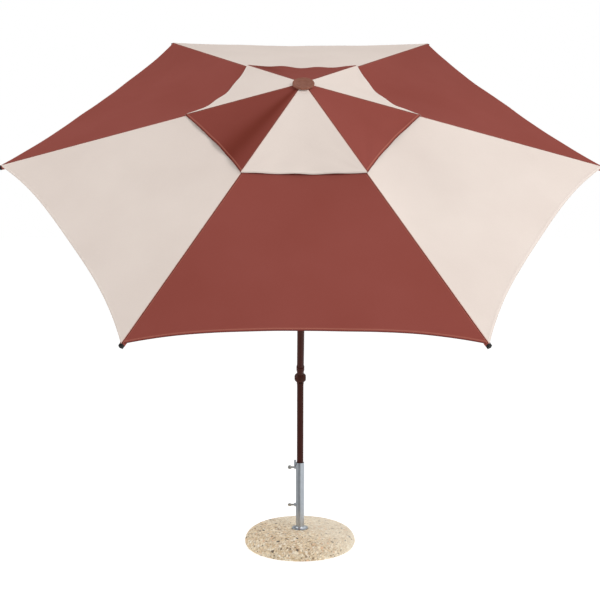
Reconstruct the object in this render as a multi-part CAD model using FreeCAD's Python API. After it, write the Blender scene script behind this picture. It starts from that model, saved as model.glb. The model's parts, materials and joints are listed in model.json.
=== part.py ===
"""Tilting patio parasol, six ribs, vented canopy, on a round concrete base.

Frame: millimetres, +Z up, origin at the centre of the base's underside.
The canopy leans towards -Y by TILT at the knuckle. Everything above the knuckle is
built upright about the Z axis and leaned over in one turn just before it is written.
"""
import FreeCAD, Part
import math
import os

Vec = FreeCAD.Vector
AXIS_X = Vec(1, 0, 0)
AXIS_Y = Vec(0, 1, 0)
AXIS_Z = Vec(0, 0, 1)

# ---- overall sizes
TILT = 34.0                 # lean of the canopy, degrees
KNUCKLE_Z = 1000.0          # height of the tilt hinge above the floor
CANOPY_R = 1500.0           # fabric corner to pole axis
TIP_RISE = 1477.0           # knuckle to the level of the fabric corners, along the upper pole
RIB_SLOPE = 17.0            # fall of the open ribs, degrees
RIB_SLOPE_CLOSED = 87.0     # fall of the folded ribs, degrees
RIB_COUNT = 6

# ---- fits
RUN_GAP = 0.5               # side gap between moving neighbours
PIN_PLAY = 0.1              # radial play of a pin in its eye
CLEAR = 0.4                 # gap between parts that only pass each other
SOCKET_PLAY = 3.15          # radial play of the lower pole in the base tube
OVER = 1.0                  # how far a cutting shape runs past the face that it cuts

# ---- lower and upper pole
POLE_R = 19.0
POLE_WALL = 1.5
UPPER_R = 20.0
UPPER_WALL = 1.5
FOOT_DISC_T = 5.0
FOOT_STEM = 42.0
FOOT_PLAY = 0.05

# ---- base tube
TUBE_WALL = 2.0
SOCKET_R = POLE_R + SOCKET_PLAY
TUBE_R = SOCKET_R + TUBE_WALL
TUBE_TOP_Z = 491.0

# ---- rosette
ROSETTE_RIM = 23.85         # width past the tube
ROSETTE_R = TUBE_R + ROSETTE_RIM
ROSETTE_T = 2.5
ROSETTE_RISE = 14.0

# ---- concrete base
BASE_R = 328.0
BASE_UNDERCUT = 8.0         # the foot is smaller than the widest ring by this much
BASE_WIDEST_Z = 16.0
BASE_SHOULDER_R = 61.0
BASE_DOME_ANGLE = 6.5       # slope where the dome meets the rounded shoulder, degrees
BASE_SEAT_R = ROSETTE_R + 6.0
BASE_FLOOR = 14.0           # concrete left under the pole socket

# ---- clamping screws, their nuts, the tab beside the rim
SCREW_DROP = 29.0           # tube rim to the upper screw
SCREW_SPACING = 228.5
SCREW_Z = {"upper": TUBE_TOP_Z - SCREW_DROP, "lower": TUBE_TOP_Z - SCREW_DROP - SCREW_SPACING}
SCREW_TURN = {"upper": 15.0, "lower": 40.0}
SCREW_R = 5.0
SCREW_TIP_GAP = 0.6         # screw end to the pole
SCREW_REACH = 25.85         # nut face to the middle of the head
SCREW_HEAD_R = 12.0
SCREW_HEAD_T = 9.0
SCREW_HEAD_ROUND = 3.6
NUT_WALL = 4.0
NUT_FLATS = 2 * (SCREW_R + NUT_WALL)
NUT_T = 11.0
SCREW_HEAD_X = TUBE_R + NUT_T + SCREW_REACH
TAB_LENGTH = 12.0
TAB_HEIGHT = 34.0
TAB_T = 3.0

# ---- knuckle: tongue, pivot bolt and nut, spring, button, ball
TONGUE_HALF = 8.6
PIVOT_R = 4.0
PIVOT_NUT_WALL = 2.5
PIVOT_NUT_FLATS = 2 * (PIVOT_R + PIVOT_NUT_WALL)
PIVOT_NUT_T = 5.5
PIVOT_HEAD_R = 7.5
PIVOT_HEAD_T = 5.0
NUT_FLOOR = 6.0             # shell left between the tongue and the pivot nut
NUT_FACE_X = TONGUE_HALF + NUT_FLOOR
SPRING_WIRE_R = 0.4
SPRING_TURNS = 3
SPRING_STEPS = 16           # facets in one turn
SPRING_SOLID = 1.9          # height left for the pressed spring
SPRING_GAP = 1.5            # spring wire to the bolt that it sits round
BUTTON_R = 11.0
BUTTON_T = 7.5
BUTTON_PROUD = 1.5          # past the end of the ball
BUTTON_TRAVEL = 4.0
BUTTON_ROUND = 1.5
BUTTON_RIM = 3.85           # ball left round the button
BUTTON_FLOOR_X = NUT_FACE_X + PIVOT_NUT_T + SPRING_SOLID
BUTTON_REAR_X = BUTTON_FLOOR_X + RUN_GAP + BUTTON_TRAVEL
BALL_HALF_WIDTH = BUTTON_REAR_X + BUTTON_T - BUTTON_PROUD
BALL_PROUD = 13.5           # ball past the lower pole
BALL_R = POLE_R + BALL_PROUD
BALL_END_R = BUTTON_R + BUTTON_RIM
NECK_R = POLE_R + POLE_WALL
NECK_DROP = BALL_R + 5.0    # hinge to the foot of the visible neck
NECK_PLUG = NECK_DROP + 38.0

# ---- foot of the upper pole
TONGUE_SHOULDER = BALL_R + 4.0
COLLAR_LOW = TONGUE_SHOULDER + 25.0
COLLAR_HIGH = COLLAR_LOW + 31.0
COLLAR_LIP = 5.0            # collar below the pole's end
COLLAR_R = UPPER_R + 3.0
COLLAR_ROUND = 1.8
SPIGOT = 70.0               # tongue spigot inside the upper pole

# ---- ribs and their end caps
PIN_R = 2.5
RIB_H = 18.0
RIB_W = 14.0
RIB_WALL = 1.2
RIB_CORNER = 2.0
RIB_EYE_R = 7.0
RIB_EYE_T = 6.0
RIB_TUBE_START = 26.0       # crown hinge to the start of the tube
RIB_PLUG = 20.0
RIB_TIP_SHORT = 4.0         # tube end short of the fabric corner radius
CAP_H = RIB_H + 2.0
CAP_W = RIB_W + 4.0
CAP_LENGTH = 34.0
CAP_COVER = 26.0
CAP_CORNER = 3.0
CAP_HOLE_R = 4.0
CAP_HOLE_DEPTH = 6.0

# ---- struts and their brackets on the ribs
STRUT_ALONG = 700.0         # crown hinge to strut pivot, along the rib
STRUT_H = 12.0
STRUT_GAP = 4.0             # strut to the underside of the rib
STRUT_DROP = RIB_H / 2 + STRUT_GAP + STRUT_H / 2
STRUT_WALL = 1.2
STRUT_SOLID_END = 16.0
BRACKET_LENGTH = 26.0
BRACKET_T = 1.7
BRACKET_PLAY = 0.3
BRACKET_LIP = 1.0           # bracket below the strut
BRACKET_ROUND = 6.0
STRUT_W = RIB_W - 2 * (BRACKET_T + BRACKET_PLAY)
RIVET_HEAD_R = 4.0
RIVET_HEAD_T = 1.5

# ---- crown
CROWN_CORE_R = UPPER_R + 8.0
CROWN_HINGE_R = CROWN_CORE_R + RIB_EYE_R + 1.0
CROWN_R = CROWN_HINGE_R + 10.0
CROWN_BELOW = RIB_EYE_R + 7.0
CROWN_ABOVE = RIB_EYE_R + 7.5
CROWN_ROUND = 2.0
CROWN_PIN_GRIP = 6.5        # pin held in the hub on each side of a slot
SLOT_HALF = RIB_EYE_T / 2 + RUN_GAP

# ---- finial
FINIAL_R = CROWN_R + 6.5
FINIAL_T = 12.0
FINIAL_CHAMFER = 1.5
FINIAL_GAP = 6.0            # crown top to finial underside
FINIAL_BOSS_R = 12.0
STUD_R = 4.0
STUD_BELOW = 7.0            # stud in the crown's roof
STUD_ABOVE = 11.0

# ---- runner
RUNNER_PLAY = 0.6
RUNNER_BORE_R = UPPER_R + RUNNER_PLAY
RUNNER_WALL = 5.4
RUNNER_R = RUNNER_BORE_R + RUNNER_WALL
RUNNER_UP = 20.0
RUNNER_DOWN = 44.0
RUNNER_RIM_R = RUNNER_R + 2.5
RUNNER_RIM_T = 5.0
LUG_OUT = CROWN_HINGE_R + 7.0
LUG_HALF_H = STRUT_H / 2 + 5.0
LUG_PLAY = 1.0
LUG_SLOT = STRUT_W + 2 * LUG_PLAY
LUG_T = 3.0
LUG_ROUND = 7.0

# ---- latch button in the runner
LATCH_Z = LUG_HALF_H + 15.0  # below the strut pivots
LATCH_R = 7.0
LATCH_BOSS_R = LATCH_R + 3.0
LATCH_TRAVEL = 4.0
LATCH_FLOOR = RUNNER_BORE_R + 2.4
LATCH_REAR = LATCH_FLOOR + LATCH_TRAVEL + 1.0
LATCH_BOSS_OUT = LATCH_REAR + 8.0
LATCH_PROUD = 4.0
LATCH_WALL = 2.0            # spring's centre line inside the button's rim
LATCH_ROUND = 1.2

# ---- canopy
FABRIC_T = 1.2
SEAM_GAP = 1.5              # half gap between neighbouring panels
HEM_HOLLOW = 64.0           # main hem's inward curve at mid panel
VENT_HEM_HOLLOW = 13.0
MAIN_INNER_R = 300.0        # air vent opening in the main canopy, at the ribs
VENT_R = 568.0
VENT_INNER_R = CROWN_R - 1.0
VENT_LIFT = 8.0

# ---- worked out from the sizes above
SLOPE = math.radians(RIB_SLOPE)
FALL = math.tan(SLOPE)
HALF_SECTOR = math.pi / RIB_COUNT
PANEL_FALL = FALL / math.cos(HALF_SECTOR)
SIDE_FALL = PANEL_FALL * math.sin(HALF_SECTOR)
RIB_DROP = CAP_H / 2 + FABRIC_T / 2 + CAP_W / 2 * SIDE_FALL + RUN_GAP
TIP_Z = KNUCKLE_Z + TIP_RISE
CROWN_Z = TIP_Z + (CANOPY_R - CROWN_HINGE_R) * FALL - RIB_DROP / math.cos(SLOPE)
CROWN_TOP_Z = CROWN_Z + CROWN_ABOVE
RIB_LENGTH = (CANOPY_R - RIB_TIP_SHORT - CROWN_HINGE_R) / math.cos(SLOPE)
STRUT_LENGTH = math.hypot(STRUT_ALONG, STRUT_DROP)
STRUT_ANGLE = SLOPE + math.atan2(STRUT_DROP, STRUT_ALONG)
RUNNER_Z = CROWN_Z - 2 * STRUT_LENGTH * math.sin(STRUT_ANGLE)
FOLD_TURN = math.radians(RIB_SLOPE_CLOSED - RIB_SLOPE)
RUNNER_TRAVEL = 2 * STRUT_LENGTH * (math.sin(STRUT_ANGLE + FOLD_TURN) - math.sin(STRUT_ANGLE))
POLE_FOOT_Z = BASE_FLOOR + CLEAR + FOOT_DISC_T + RUN_GAP
RIB_TURNS = [index * 360.0 / RIB_COUNT for index in range(RIB_COUNT)]


def save(name, *solids):
    """Write one node: a single solid, or a group of separate ones."""
    shape = solids[0] if len(solids) == 1 else Part.makeCompound(list(solids))
    shape.exportStep("parts/" + name + ".step")


def lean(shape):
    """Turn a shape of the upper assembly over to the leaning position."""
    turned = shape.copy()
    turned.rotate(Vec(0, 0, KNUCKLE_Z), AXIS_X, TILT)
    return turned


def save_leaning(name, *solids):
    save(name, *[lean(solid) for solid in solids])


def turned_about_z(shape, degrees):
    turned = shape.copy()
    turned.rotate(Vec(0, 0, 0), AXIS_Z, degrees)
    return turned


def cylinder(radius, low, high):
    """Upright cylinder between two heights."""
    return Part.makeCylinder(radius, high - low, Vec(0, 0, low), AXIS_Z)


def cylinder_x(radius, x_low, x_high, y, z):
    return Part.makeCylinder(radius, x_high - x_low, Vec(x_low, y, z), AXIS_X)


def cylinder_y(radius, y_low, y_high, x, z):
    return Part.makeCylinder(radius, y_high - y_low, Vec(x, y_low, z), AXIS_Y)


def cylinder_front(radius, start, length, z):
    """Cylinder towards -Y, from start in front of the pole axis."""
    return Part.makeCylinder(radius, length, Vec(0, -start, z), -AXIS_Y)


def round_edges(shape):
    return [edge for edge in shape.Edges if len(edge.Vertexes) == 1]


def edges_along(shape, axis):
    return [edge for edge in shape.Edges if abs(edge.tangentAt(edge.FirstParameter).dot(axis)) > 0.99]


def box(x0, x1, y0, y1, z0, z1):
    return Part.makeBox(x1 - x0, y1 - y0, z1 - z0, Vec(x0, y0, z0))


def hex_x(flats, x_low, x_high, z):
    """Hexagonal prism along X."""
    corner = flats / math.sqrt(3)
    turns = [math.radians(60 * i) for i in range(7)]
    points = [Vec(x_low, corner * math.sin(t), z + corner * math.cos(t)) for t in turns]
    return Part.Face(Part.makePolygon(points)).extrude(Vec(x_high - x_low, 0, 0))


def revolve(edges):
    """Solid of revolution about Z from the edges of a closed outline in the XZ plane."""
    return Part.Face(Part.Wire(edges)).revolve(Vec(0, 0, 0), AXIS_Z, 360)


def line(a, b):
    return Part.LineSegment(Vec(a[0], 0, a[1]), Vec(b[0], 0, b[1])).toShape()


def arc(a, middle, b):
    points = [Vec(p[0], 0, p[1]) for p in (a, middle, b)]
    return Part.Arc(*points).toShape()


def on_circle(centre, radius, degrees):
    angle = math.radians(degrees)
    return (centre[0] + radius * math.cos(angle), centre[1] + radius * math.sin(angle))


def spring(radius, length, start, direction):
    """Compression spring of six-sided wire, in flat facets, with its foot at start."""
    steps = SPRING_TURNS * SPRING_STEPS
    rings = []
    for step in range(steps + 1):
        turn = 2 * math.pi * step / SPRING_STEPS
        rise = length * step / steps
        ring = []
        for side in range(6):
            angle = math.pi * side / 3
            reach = radius + SPRING_WIRE_R * math.cos(angle)
            ring.append(Vec(reach * math.cos(turn), reach * math.sin(turn),
                            rise + SPRING_WIRE_R * math.sin(angle)))
        rings.append(ring)
    corners = []
    for low, high in zip(rings, rings[1:]):
        for side in range(6):
            other = (side + 1) % 6
            corners.append((low[side], low[other], high[other]))
            corners.append((low[side], high[other], high[side]))
    for end in (rings[0], rings[-1]):
        corners += [(end[0], end[side], end[side + 1]) for side in range(1, 5)]
    faces = [Part.Face(Part.makePolygon([a, b, c, a])) for a, b, c in corners]
    coil = Part.Solid(Part.makeShell(faces))
    if coil.Volume < 0:
        coil.reverse()
    coil.Placement = FreeCAD.Placement(start, FreeCAD.Rotation(AXIS_Z, direction))
    return coil


# ------------------------------------------------------------------ base

def base_seat_z():
    """Height of the flat seat, from the shoulder's arc and the dome's arc."""
    angle = math.radians(BASE_DOME_ANGLE)
    join_r = BASE_R - BASE_SHOULDER_R + BASE_SHOULDER_R * math.sin(angle)
    join_z = BASE_WIDEST_Z + BASE_SHOULDER_R * math.cos(angle)
    dome_r = join_r / math.sin(angle)
    centre_z = join_z - dome_r * math.cos(angle)
    return centre_z + math.sqrt(dome_r ** 2 - BASE_SEAT_R ** 2), join_r, join_z, dome_r, centre_z


def make_concrete_base():
    seat_z, join_r, join_z, dome_r, centre_z = base_seat_z()
    shoulder = (BASE_R - BASE_SHOULDER_R, BASE_WIDEST_Z)
    middle_r = (join_r + BASE_SEAT_R) / 2
    middle = (middle_r, centre_z + math.sqrt(dome_r ** 2 - middle_r ** 2))
    half_turn = (90 - BASE_DOME_ANGLE) / 2
    foot_r = BASE_R - BASE_UNDERCUT
    edges = [line((0, 0), (foot_r, 0)),
             line((foot_r, 0), (BASE_R, BASE_WIDEST_Z)),
             arc((BASE_R, BASE_WIDEST_Z), on_circle(shoulder, BASE_SHOULDER_R, half_turn),
                 (join_r, join_z)),
             arc((join_r, join_z), middle, (BASE_SEAT_R, seat_z)),
             line((BASE_SEAT_R, seat_z), (0, seat_z)),
             line((0, seat_z), (0, 0))]
    socket = cylinder(TUBE_R, BASE_FLOOR, seat_z + OVER)
    save("concrete_base", revolve(edges).cut(socket))


def make_base_tube():
    tube = cylinder(TUBE_R, BASE_FLOOR, TUBE_TOP_Z).cut(cylinder(SOCKET_R, BASE_FLOOR, TUBE_TOP_Z))
    for z in SCREW_Z.values():
        tube = tube.cut(cylinder_x(SCREW_R + PIN_PLAY, -TUBE_R - OVER, 0, 0, z))
    save("base_tube", tube)


def make_base_flange():
    """Pressed rosette: a flat rim that sweeps up to a short collar round the tube."""
    low = base_seat_z()[0]
    collar_r = TUBE_R + ROSETTE_T
    sweep = ROSETTE_RISE - ROSETTE_T
    corner = (collar_r + sweep, low + ROSETTE_RISE)
    edges = [line((TUBE_R, low), (ROSETTE_R, low)),
             line((ROSETTE_R, low), (ROSETTE_R, low + ROSETTE_T)),
             line((ROSETTE_R, low + ROSETTE_T), (corner[0], low + ROSETTE_T)),
             arc((corner[0], low + ROSETTE_T), on_circle(corner, sweep, 225),
                 (collar_r, low + ROSETTE_RISE)),
             line((collar_r, low + ROSETTE_RISE), (TUBE_R, low + ROSETTE_RISE)),
             line((TUBE_R, low + ROSETTE_RISE), (TUBE_R, low))]
    save("base_flange", revolve(edges))


def make_screw_nuts():
    """Nuts welded to the tube, shaped to its round wall."""
    wall = cylinder(TUBE_R, 0, TUBE_TOP_Z)
    nuts = []
    for z in SCREW_Z.values():
        nut = hex_x(NUT_FLATS, -TUBE_R - NUT_T, -TUBE_R + TUBE_WALL, z)
        bore = cylinder_x(SCREW_R + PIN_PLAY, -TUBE_R - NUT_T - OVER, 0, 0, z)
        nuts.append(nut.cut(wall).cut(bore))
    save("screw_nuts", *nuts)


def make_tube_tab():
    """Small upright plate welded beside the rim, above the upper nut."""
    low = SCREW_Z["upper"] + NUT_FLATS / math.sqrt(3)
    plate = box(-TUBE_R - TAB_LENGTH, -TUBE_R + OVER, -TAB_T / 2, TAB_T / 2, low, low + TAB_HEIGHT)
    outer = [edge for edge in edges_along(plate, AXIS_Y) if edge.CenterOfMass.x < -TUBE_R - TAB_LENGTH / 2]
    plate = plate.makeFillet(TAB_T, outer)
    save("tube_tab", plate.cut(cylinder(TUBE_R, 0, low + TAB_HEIGHT + OVER)))


def make_screws():
    """Thumb screws: threaded shank and a flat round head in line with it."""
    for place, z in SCREW_Z.items():
        shank = cylinder_x(SCREW_R, -SCREW_HEAD_X, -POLE_R - SCREW_TIP_GAP, 0, z)
        head = cylinder_y(SCREW_HEAD_R, -SCREW_HEAD_T / 2, SCREW_HEAD_T / 2, -SCREW_HEAD_X, z)
        head = head.makeFillet(SCREW_HEAD_ROUND, round_edges(head))
        screw = shank.fuse(head).removeSplitter()
        screw.rotate(Vec(0, 0, z), AXIS_X, SCREW_TURN[place])
        save("screw_" + place, screw)


# ------------------------------------------------------------------ lower mast

def make_lower_pole():
    foot_low = BASE_FLOOR + CLEAR
    disc = cylinder(POLE_R, foot_low, foot_low + FOOT_DISC_T)
    stem = cylinder(POLE_R - POLE_WALL - FOOT_PLAY, foot_low, foot_low + FOOT_STEM)
    save("pole_foot", disc.fuse(stem).removeSplitter())
    top = KNUCKLE_Z - NECK_DROP
    pole = cylinder(POLE_R, POLE_FOOT_Z, top).cut(cylinder(POLE_R - POLE_WALL, POLE_FOOT_Z, top))
    save("lower_pole", pole)


def knuckle_ball():
    """Barrel about the hinge axis: an arc through the two ends and the widest ring."""
    edges = [line((0, -BALL_HALF_WIDTH), (BALL_END_R, -BALL_HALF_WIDTH)),
             arc((BALL_END_R, -BALL_HALF_WIDTH), (BALL_R, 0), (BALL_END_R, BALL_HALF_WIDTH)),
             line((BALL_END_R, BALL_HALF_WIDTH), (0, BALL_HALF_WIDTH)),
             line((0, BALL_HALF_WIDTH), (0, -BALL_HALF_WIDTH))]
    ball = revolve(edges)
    ball.rotate(Vec(0, 0, 0), AXIS_Y, 90)
    ball.translate(Vec(0, 0, KNUCKLE_Z))
    return ball


def make_knuckle_shells():
    """Two cheeks that clamp the tongue, with half a neck and half a plug each."""
    cheek_x = TONGUE_HALF + CLEAR
    low = KNUCKLE_Z - NECK_DROP
    under_tongue = KNUCKLE_Z - BALL_R - RUN_GAP
    ball = knuckle_ball()
    neck = cylinder(NECK_R, low, KNUCKLE_Z)
    plug = cylinder(POLE_R - POLE_WALL, KNUCKLE_Z - NECK_PLUG, under_tongue)
    reach = 2 * BALL_HALF_WIDTH
    below = box(-reach, reach, -reach, reach, low - NECK_PLUG, under_tongue)
    far = box(cheek_x, reach, -reach, reach, low - NECK_PLUG, KNUCKLE_Z + reach)
    near = box(0, reach, -reach, reach, low - NECK_PLUG, KNUCKLE_Z + reach)
    right = ball.fuse(neck).common(far).fuse(neck.common(below).common(near))
    right = right.fuse(plug.common(near)).removeSplitter()
    left = right.mirror(Vec(0, 0, 0), AXIS_X)
    bore = cylinder_x(PIVOT_R + PIN_PLAY / 2, -reach, reach, 0, KNUCKLE_Z)
    head_pocket = cylinder_x(PIVOT_HEAD_R + CLEAR, BALL_HALF_WIDTH - PIVOT_HEAD_T, reach, 0, KNUCKLE_Z)
    save("knuckle_shell_right", right.cut(bore).cut(head_pocket))
    button_pocket = cylinder_x(BUTTON_R + CLEAR, -reach, -BUTTON_FLOOR_X, 0, KNUCKLE_Z)
    nut_pocket = cylinder_x(PIVOT_NUT_FLATS / math.sqrt(3) + CLEAR, -reach, -NUT_FACE_X, 0, KNUCKLE_Z)
    save("knuckle_shell_left", left.cut(bore).cut(button_pocket).cut(nut_pocket))


def make_pivot():
    head_x = BALL_HALF_WIDTH - PIVOT_HEAD_T
    nut_end = NUT_FACE_X + PIVOT_NUT_T
    shank = cylinder_x(PIVOT_R, -nut_end, head_x + OVER, 0, KNUCKLE_Z)
    head = cylinder_x(PIVOT_HEAD_R, head_x, BALL_HALF_WIDTH, 0, KNUCKLE_Z)
    save("pivot_bolt", shank.fuse(head).removeSplitter())
    nut = hex_x(PIVOT_NUT_FLATS, -nut_end, -NUT_FACE_X, KNUCKLE_Z)
    save("pivot_nut", nut.cut(cylinder_x(PIVOT_R, -nut_end - OVER, 0, 0, KNUCKLE_Z)))


def make_tilt_button():
    button = cylinder_x(BUTTON_R, -BUTTON_REAR_X - BUTTON_T, -BUTTON_REAR_X, 0, KNUCKLE_Z)
    rim = [edge for edge in round_edges(button) if edge.CenterOfMass.x < -BUTTON_REAR_X - BUTTON_T / 2]
    save("tilt_button", button.makeFillet(BUTTON_ROUND, rim))
    nut_end = NUT_FACE_X + PIVOT_NUT_T
    length = BUTTON_REAR_X - nut_end - 2 * SPRING_WIRE_R - CLEAR
    start = Vec(-nut_end - SPRING_WIRE_R - CLEAR / 2, 0, KNUCKLE_Z)
    save("button_spring", spring(PIVOT_R + SPRING_GAP, length, start, -AXIS_X))


# ------------------------------------------------------------------ upper mast

def make_tongue():
    """Hinge tongue: round disc between the shells, shoulder and spigot above."""
    whole = knuckle_ball()
    slab = box(-TONGUE_HALF, TONGUE_HALF, -2 * BALL_R, 2 * BALL_R,
               KNUCKLE_Z - 2 * BALL_R, KNUCKLE_Z + 2 * BALL_R)
    disc = whole.common(slab)
    stalk_half = BALL_R / 2
    stalk = box(-TONGUE_HALF, TONGUE_HALF, -stalk_half, stalk_half,
                KNUCKLE_Z, KNUCKLE_Z + TONGUE_SHOULDER + OVER)
    seat = KNUCKLE_Z + COLLAR_LOW + COLLAR_LIP
    shoulder = cylinder(UPPER_R, KNUCKLE_Z + TONGUE_SHOULDER, seat)
    spigot = cylinder(UPPER_R - UPPER_WALL, seat - OVER, seat + SPIGOT)
    tongue = disc.fuse([stalk, shoulder, spigot]).removeSplitter()
    bore = cylinder_x(PIVOT_R + PIN_PLAY, -2 * TONGUE_HALF, 2 * TONGUE_HALF, 0, KNUCKLE_Z)
    save_leaning("knuckle_tongue", tongue.cut(bore))


def make_collar():
    low = KNUCKLE_Z + COLLAR_LOW
    high = KNUCKLE_Z + COLLAR_HIGH
    body = cylinder(COLLAR_R, low, high)
    body = body.makeFillet(COLLAR_ROUND, round_edges(body))
    save_leaning("knuckle_collar", body.cut(cylinder(UPPER_R, low - OVER, high + OVER)))


def make_upper_pole():
    low = KNUCKLE_Z + COLLAR_LOW + COLLAR_LIP
    high = CROWN_Z + CROWN_ABOVE / 2
    pole = cylinder(UPPER_R, low, high).cut(cylinder(UPPER_R - UPPER_WALL, low, high))
    save_leaning("upper_pole", pole)


def make_crown():
    """Crown hub on the pole's top, with a radial slot and a pin for each rib."""
    low = CROWN_Z - CROWN_BELOW
    hub = cylinder(CROWN_R, low, CROWN_TOP_Z)
    hub = hub.makeFillet(CROWN_ROUND, round_edges(hub))
    hub = hub.cut(cylinder(UPPER_R, low - OVER, CROWN_Z + CROWN_ABOVE / 2))
    hub = hub.cut(cylinder(STUD_R, CROWN_Z, CROWN_TOP_Z + OVER))
    slot = box(CROWN_CORE_R, CROWN_R + OVER, -SLOT_HALF, SLOT_HALF, low - OVER, CROWN_TOP_Z + OVER)
    half_pin = SLOT_HALF + CROWN_PIN_GRIP
    pin = cylinder_y(PIN_R, -half_pin, half_pin, CROWN_HINGE_R, CROWN_Z)
    pins = [turned_about_z(pin, angle) for angle in RIB_TURNS]
    slots = [turned_about_z(slot, angle) for angle in RIB_TURNS]
    save_leaning("crown_hub", hub.cut(slots + pins))
    save_leaning("crown_pins", *pins)


def make_finial():
    """Round cap disc on a stud, clamping the vent's centre."""
    low = CROWN_TOP_Z + FINIAL_GAP
    high = low + FINIAL_T
    disc = cylinder(FINIAL_R, low, high)
    middle = (low + high) / 2
    top = [edge for edge in round_edges(disc) if edge.CenterOfMass.z > middle]
    disc = disc.makeFillet(FINIAL_T / 2, top)
    foot = [edge for edge in round_edges(disc) if edge.CenterOfMass.z < low + FINIAL_CHAMFER]
    disc = disc.makeChamfer(FINIAL_CHAMFER, foot)
    disc = disc.fuse(cylinder(FINIAL_BOSS_R, CROWN_TOP_Z, low + OVER)).removeSplitter()
    stud_top = CROWN_TOP_Z + STUD_ABOVE
    save_leaning("finial", disc.cut(cylinder(STUD_R, CROWN_TOP_Z - OVER, stud_top)))
    save_leaning("finial_stud", cylinder(STUD_R, CROWN_TOP_Z - STUD_BELOW, stud_top))


# ------------------------------------------------------------------ ribs and struts
# A rib is built along +X with its crown hinge at the origin, then sloped and placed.

def place_rib(shape, index):
    placed = shape.copy()
    placed.rotate(Vec(0, 0, 0), AXIS_Y, RIB_SLOPE)
    placed.translate(Vec(CROWN_HINGE_R, 0, CROWN_Z))
    return turned_about_z(placed, RIB_TURNS[index])


def rounded_bar(x0, x1, width, height, corner):
    bar = box(x0, x1, -width / 2, width / 2, -height / 2, height / 2)
    return bar.makeFillet(corner, edges_along(bar, AXIS_X))


def rib_envelope():
    return rounded_bar(RIB_TUBE_START, RIB_LENGTH, RIB_W, RIB_H, RIB_CORNER)


def make_rib_shape():
    """Rib tube with its flattened crown eye and its welded strut bracket, and the rivet."""
    hollow_w = RIB_W - 2 * RIB_WALL
    hollow_h = RIB_H - 2 * RIB_WALL
    hollow = box(RIB_TUBE_START + RIB_PLUG, RIB_LENGTH + OVER, -hollow_w / 2, hollow_w / 2,
                 -hollow_h / 2, hollow_h / 2)
    tube = rib_envelope().cut(hollow)
    eye = cylinder_y(RIB_EYE_R, -RIB_EYE_T / 2, RIB_EYE_T / 2, 0, 0)
    neck = box(0, RIB_TUBE_START + OVER, -RIB_EYE_T / 2, RIB_EYE_T / 2, -RIB_EYE_R, RIB_EYE_R)
    bracket_low = -STRUT_DROP - STRUT_H / 2 - BRACKET_LIP
    bracket = box(STRUT_ALONG - BRACKET_LENGTH / 2, STRUT_ALONG + BRACKET_LENGTH / 2,
                  -RIB_W / 2, RIB_W / 2, bracket_low, -RIB_H / 2 + RIB_CORNER)
    low_edges = [edge for edge in edges_along(bracket, AXIS_Y) if edge.CenterOfMass.z < -STRUT_DROP]
    bracket = bracket.makeFillet(BRACKET_ROUND, low_edges)
    inside = RIB_W / 2 - BRACKET_T
    bracket = bracket.cut(box(0, RIB_LENGTH, -inside, inside, 2 * bracket_low, -RIB_H / 2))
    solid = tube.fuse([eye, neck, bracket]).removeSplitter()
    solid = solid.cut(cylinder_y(PIN_R + PIN_PLAY, -RIB_W, RIB_W, 0, 0))
    rivet = cylinder_y(PIN_R, -RIB_W / 2, RIB_W / 2, STRUT_ALONG, -STRUT_DROP)
    solid = solid.cut(rivet)
    heads = [cylinder_y(RIVET_HEAD_R, side, side + RIVET_HEAD_T, STRUT_ALONG, -STRUT_DROP)
             for side in (-RIB_W / 2 - RIVET_HEAD_T, RIB_W / 2)]
    return solid, rivet.fuse(heads).removeSplitter()


def make_cap_shape():
    """Moulded end cap pushed over the rib tube, with a blind hole in its face."""
    end = RIB_LENGTH + CAP_LENGTH - CAP_COVER
    cap = rounded_bar(end - CAP_LENGTH, end, CAP_W, CAP_H, CAP_CORNER)
    cap = cap.cut(rib_envelope())
    return cap.cut(cylinder_x(CAP_HOLE_R, end - CAP_HOLE_DEPTH, end + OVER, 0, 0))


def make_strut_shape():
    """U-channel strut from the rib's bracket (origin) towards -X, with an eye at each end."""
    bar = box(-STRUT_LENGTH, 0, -STRUT_W / 2, STRUT_W / 2, -STRUT_H / 2, STRUT_H / 2)
    ends = [cylinder_y(STRUT_H / 2, -STRUT_W / 2, STRUT_W / 2, x, 0) for x in (0, -STRUT_LENGTH)]
    strut = bar.fuse(ends).removeSplitter()
    inside = STRUT_W / 2 - STRUT_WALL
    channel = box(-STRUT_LENGTH + STRUT_SOLID_END, -STRUT_SOLID_END, -inside, inside,
                  -STRUT_H, STRUT_H / 2 - STRUT_WALL)
    strut = strut.cut(channel)
    for x in (0, -STRUT_LENGTH):
        strut = strut.cut(cylinder_y(PIN_R + PIN_PLAY, -STRUT_W, STRUT_W, x, 0))
    return strut


def make_ribs():
    rib, rivet = make_rib_shape()
    cap = make_cap_shape()
    strut = make_strut_shape()
    pivot = Vec(STRUT_ALONG, 0, -STRUT_DROP)
    # the strut runs from the bracket down to the runner, as steep as the line to the crown
    strut.rotate(Vec(0, 0, 0), AXIS_Y, -math.degrees(STRUT_ANGLE) - RIB_SLOPE)
    strut.translate(pivot)
    for index in range(RIB_COUNT):
        name = str(index + 1)
        save_leaning("rib_" + name, place_rib(rib, index), place_rib(rivet, index))
        save_leaning("rib_cap_" + name, place_rib(cap, index))
        save_leaning("strut_" + name, place_rib(strut, index))


# ------------------------------------------------------------------ runner

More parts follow.
